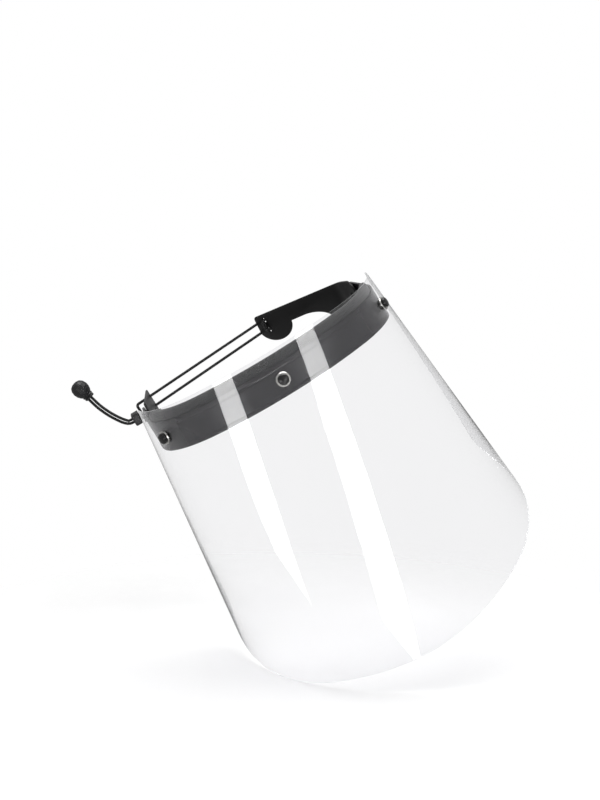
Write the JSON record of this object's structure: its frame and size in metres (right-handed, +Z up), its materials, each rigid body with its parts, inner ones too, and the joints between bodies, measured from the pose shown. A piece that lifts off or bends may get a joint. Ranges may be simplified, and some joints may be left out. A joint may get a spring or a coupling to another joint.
{
  "type": "face shield",
  "caption": "Clear wrap-round face shield on a charcoal brow band with sweatband, press studs, hinged side arms and an elastic cord with a cord lock",
  "frame": {"origin": "the middle of the sweatband's inner face, where the forehead touches it", "axes": "+Z up as worn, -Y the way the wearer faces, +X the side away from the cord lock (the wearer's left)"},
  "size_m": [0.2309, 0.2516, 0.2112],
  "materials": {
    "clear_sheet": "Clear moulded plastic sheet, glossy on both faces, 0.7 mm thick",
    "band_plastic": "Glossy charcoal rigid plastic strip",
    "pad_fabric": "Black woven cover over soft foam",
    "arm_plastic": "Black satin moulded plate",
    "stud_plastic": "Black moulded plastic, lightly glossy",
    "bright_metal": "Bright plated metal eyelet",
    "black_metal": "Black coated metal rivet",
    "cord_braid": "Black braided cover over an elastic core",
    "lock_plastic": "Black moulded plastic with a fine matt grain"
  },
  "bodies": {
    "root": {"visor": "clear_sheet", "brow_band": "band_plastic", "sweatband": "pad_fabric", "arm_rivet_left": "black_metal", "arm_rivet_right": "black_metal", "arm_washer_left": "stud_plastic", "arm_washer_right": "stud_plastic", "stud_post_left": "stud_plastic", "stud_post_center": "stud_plastic", "stud_post_right": "stud_plastic", "stud_spacer_left": "stud_plastic", "stud_spacer_center": "stud_plastic", "stud_spacer_right": "stud_plastic", "stud_eyelet_left": "bright_metal", "stud_eyelet_center": "bright_metal", "stud_eyelet_right": "bright_metal"},
    "harness": {"arm_left": "arm_plastic", "arm_right": "arm_plastic", "elastic_cord": "cord_braid", "tail_strand_a": "cord_braid", "tail_strand_b": "cord_braid", "cord_end_bell": "lock_plastic", "cord_end_knot": "cord_braid"},
    "cord_lock": {"cord_lock_body": "lock_plastic"},
    "lock_plunger": {"cord_lock_plunger": "lock_plastic"},
    "cap_left": {"stud_cap_left": "stud_plastic"},
    "cap_center": {"stud_cap_center": "stud_plastic"},
    "cap_right": {"stud_cap_right": "stud_plastic"}
  },
  "joints": [
    {"name": "harness_pivot", "type": "hinge", "parent": "root", "child": "harness", "pos_m": [0, 0.0814, -0.002], "axis": [1, 0, 0], "range_deg": [-10, 12]},
    {"name": "stud_cap_left_pull", "type": "slide", "parent": "root", "child": "cap_left", "axis": [-0.8246, -0.5479, 0.1409], "range_m": [0, 0.004]},
    {"name": "stud_cap_center_pull", "type": "slide", "parent": "root", "child": "cap_center", "axis": [-0.017, -0.9899, 0.1409], "range_m": [0, 0.004]},
    {"name": "stud_cap_right_pull", "type": "slide", "parent": "root", "child": "cap_right", "axis": [0.8246, -0.5479, 0.1409], "range_m": [0, 0.004]},
    {"name": "cord_lock_slide", "type": "slide", "parent": "harness", "child": "cord_lock", "axis": [-1, 0, 0], "range_m": [0, 0.002]},
    {"name": "cord_lock_press", "type": "slide", "parent": "cord_lock", "child": "lock_plunger", "axis": [0, -1, 0], "range_m": [0, 0.0022], "stiffness_N_per_m": 500}
  ]
}
